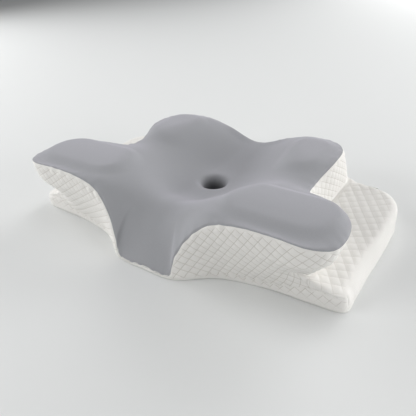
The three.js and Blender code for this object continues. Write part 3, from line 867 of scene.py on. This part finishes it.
# %% The bar tree
bars, given, result = new_tree("bars", [("Long", "Float"), ("Wide", "Float"), ("Thread", "Material")])
ball = add(bars, "GeometryNodeMeshUVSphere", Segments=6, Rings=5, Radius=0.5)
size = bars.nodes.new("ShaderNodeCombineXYZ")
bars.links.new(given.outputs["Wide"], size.inputs[0])
bars.links.new(given.outputs["Wide"], size.inputs[1])
bars.links.new(given.outputs["Long"], size.inputs[2])
aim = add(bars, "FunctionNodeAlignRotationToVector", axis="Z", Vector=named(bars, "along", "FLOAT_VECTOR"))
points_in = given.outputs["Geometry"]
spread = add(bars, "GeometryNodeInstanceOnPoints", Points=points_in, Instance=ball.outputs["Mesh"])
bars.links.new(aim.outputs[0], spread.inputs["Rotation"])
bars.links.new(size.outputs[0], spread.inputs["Scale"])
whole = add(bars, "GeometryNodeRealizeInstances", Geometry=spread.outputs[0])
dressed = add(bars, "GeometryNodeSetMaterial", Geometry=whole.outputs[0], Material=given.outputs["Thread"])
bars.links.new(dressed.outputs[0], result.inputs[0])


def bars_at(name, points, along, long, wide, material):
    """Rounded bars at the points, each lying along its own direction."""
    mesh = bpy.data.meshes.new(name)
    mesh.from_pydata(np.asarray(points, float).tolist(), [], [])
    layer = mesh.attributes.new("along", "FLOAT_VECTOR", "POINT")
    directions = np.broadcast_to(along, np.shape(points)).astype(np.float32)
    layer.data.foreach_set("vector", directions.ravel())
    obj = put(name, mesh)
    with_tree(obj, bars, Long=long, Wide=wide, Thread=material)
    settle(obj)
    print(name, len(points), "bars,", len(obj.data.polygons), "faces")
    return obj


# %% [markdown]
# ## The rolled seam
#
# Where the jersey meets the wall, its edge is rolled under and overlocked. The roll is a soft
# tube in the groove between the panels, and the overlock stitches cross it.

# %% Seam roll and overlock
seam_line = smooth[:-1, seam_row]
seam_out = out[:-1, seam_row]
seam_along = np.roll(seam_line, -1, axis=0) - np.roll(seam_line, 1, axis=0)
seam_along /= np.linalg.norm(seam_along, axis=1, keepdims=True)
seam_side = np.cross(seam_along, seam_out)
seam_out = np.cross(seam_side, seam_along)
turns_round = np.arange(10) / 10 * 2 * math.pi
radius = 0.9 * MM
centre_line = seam_line - seam_out * 1.1 * MM
tube = (
    centre_line[:, None]
    + radius * np.cos(turns_round)[None, :, None] * seam_out[:, None]
    + radius * np.sin(turns_round)[None, :, None] * seam_side[:, None]
)
tube = np.concatenate([tube, tube[:1]])
tube = np.concatenate([tube, tube[:, :1]], axis=1)
roll = panel("seam_roll_knit", tube[:, ::-1], np.ones((len(tube) - 1, 10), bool))
pole(roll)
roll.data.materials.append(roll_knit)
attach(roll, BODY)
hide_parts("seam_roll")

lengths = np.concatenate([[0], np.cumsum(np.linalg.norm(np.diff(centre_line, axis=0), axis=1))])
stops = np.arange(0, lengths[-1], 3.2 * MM)


def along_seam(values):
    return np.column_stack([np.interp(stops, lengths, values[:, k]) for k in range(3)])


cross = along_seam(seam_side) + 0.35 * along_seam(seam_along)
on_roll = along_seam(centre_line) + along_seam(seam_out) * 0.8 * MM
overlock = bars_at("overlock_stitches", on_roll, cross, 1.9 * MM, 0.45 * MM, grey_thread)
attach(overlock, BODY)

# %% [markdown]
# ## The zip
#
# A nylon zip closes the back just above the base. Two woven tapes carry the rows of coil teeth,
# metal stops end them, and a slider with a pull runs along them. The slider, its pull and the
# stops keep their CAD shapes, with small bevels where the plating rounds the edges.

# %% Tapes
for level in ("lower", "upper"):
    low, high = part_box(f"zip_tape_{level}")
    across = np.linspace(low.z, high.z, 9)
    spots = np.linspace(low.x, high.x, 160)
    ripple = 0.06 * MM * np.sin(spots * 410) + 0.05 * MM * np.sin(spots * 173 + 2)
    grid = np.zeros((len(spots), len(across), 3))
    grid[:, :, 0] = spots[:, None]
    grid[:, :, 1] = high.y - 0.1 * MM + ripple[:, None]
    grid[:, :, 2] = across[None, :]
    tape = panel(f"woven_tape_{level}", grid, np.ones((159, 8), bool))
    tape.data.flip_normals()
    tape.data.materials.append(tape_weave)
    thicken(tape, 0.7 * MM)
    settle(tape)
    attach(tape, BODY)
    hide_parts(f"zip_tape_{level}")

# %% [markdown]
# ### Facing behind the zip
#
# The walls slope away from the ends of the tapes, and the foam would show there. A thin strip of
# the base knit lies behind the tapes, as a zip guard does, and closes both ends.

# %% Facing behind the zip
FACING_HALF = 170 * MM
FACING_LEVELS = (2 * MM, 32 * MM)
FACING_SETBACK = 1.9 * MM
spots = np.linspace(-FACING_HALF, FACING_HALF, 86)
levels = np.linspace(*FACING_LEVELS, 9)
grid = np.zeros((len(spots), len(levels), 3))
grid[:, :, 0] = spots[:, None]
grid[:, :, 1] = BACK_PLANE + hollow_y - FACING_SETBACK
grid[:, :, 2] = levels[None, :]
facing = panel("zip_facing", grid, np.ones((len(spots) - 1, len(levels) - 1), bool))
facing.data.flip_normals()
facing.data.materials.append(base_knit)
thicken(facing, 0.35 * MM)
settle(facing)
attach(facing, BODY)
print("facing", len(facing.data.polygons), "faces")

# %% [markdown]
# ### Teeth and top-stitching
#
# Both are rows of the same small bar, so the bar tree makes them. The upper teeth are half a
# pitch along from the lower ones, as they are when a coil zip is closed.

# %% Coil teeth
pitch = 2.0 * MM
for level, shift in (("lower", 0.0), ("upper", 0.5)):
    low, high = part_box(f"zip_row_{level}")
    spots = np.arange(low.x + pitch * (0.5 + shift), high.x - 0.3 * MM, pitch)
    middle_z = (low.z + high.z) / 2
    middle_y = (low.y + high.y) / 2
    points = np.column_stack([spots, np.full(len(spots), middle_y), np.full(len(spots), middle_z)])
    teeth = bars_at(f"coil_teeth_{level}", points, (0, 0, 1), 2.0 * MM, 2.0 * MM, nylon)
    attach(teeth, BODY)
    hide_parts(f"zip_row_{level}")

# %% Top-stitching along the tapes
stitch_x = np.arange(-0.155, 0.155, 3.4 * MM)
for level, height in (("lower", 5.2 * MM), ("upper", 27.6 * MM)):
    points = np.column_stack([stitch_x, np.full(len(stitch_x), 0.1921), np.full(len(stitch_x), height)])
    row = bars_at(f"tape_stitches_{level}", points, (1, 0, 0), 2.4 * MM, 0.6 * MM, white_thread)
    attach(row, BODY)

# %% [markdown]
# ### Metal parts
#
# The slider, its pull and the stops keep their CAD meshes. Plating rounds every edge a little, so
# a live Bevel of two segments is added and nothing else changes.

# %% Metal parts of the zip
metal_parts = ["slider_body", "slider_back_plate", "pull_tab", "zip_bottom_stop"]
metal_parts += ["zip_top_stop_lower", "zip_top_stop_upper"]
for name in metal_parts:
    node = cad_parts[name]
    node.data.materials.clear()
    node.data.materials.append(nickel)
    edge = node.modifiers.new("plated_edge", "BEVEL")
    edge.width = 0.18 * MM
    edge.segments = 2
    edge.limit_method = "ANGLE"

# %% [markdown]
# ## The care label
#
# A blank satin ribbon is sewn into the seam at the back of the right armrest. It stands off the
# fabric and curls a little at its free end.

# %% Care label
low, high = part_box("care_label")
width = np.linspace(low.x, high.x, 14)
drop = np.linspace(high.z, low.z, 20)
fall = (high.z - drop) / (high.z - low.z)
grid = np.zeros((len(width), len(drop), 3))
grid[:, :, 0] = width[:, None]
grid[:, :, 1] = (low.y + high.y) / 2 + (2.5 * MM * fall**2 + 0.6 * MM * np.sin(fall * 7))[None, :]
grid[:, :, 2] = drop[None, :]
grid[:, :, 1] += 0.8 * MM * np.sin((width - low.x) / (high.x - low.x) * math.pi)[:, None] * fall[None, :]
label = panel("satin_label", grid, np.ones((13, 19), bool))
label.data.flip_normals()
label.data.materials.append(ribbon)
thicken(label, 0.35 * MM)
settle(label)
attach(label, BODY)
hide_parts("care_label")
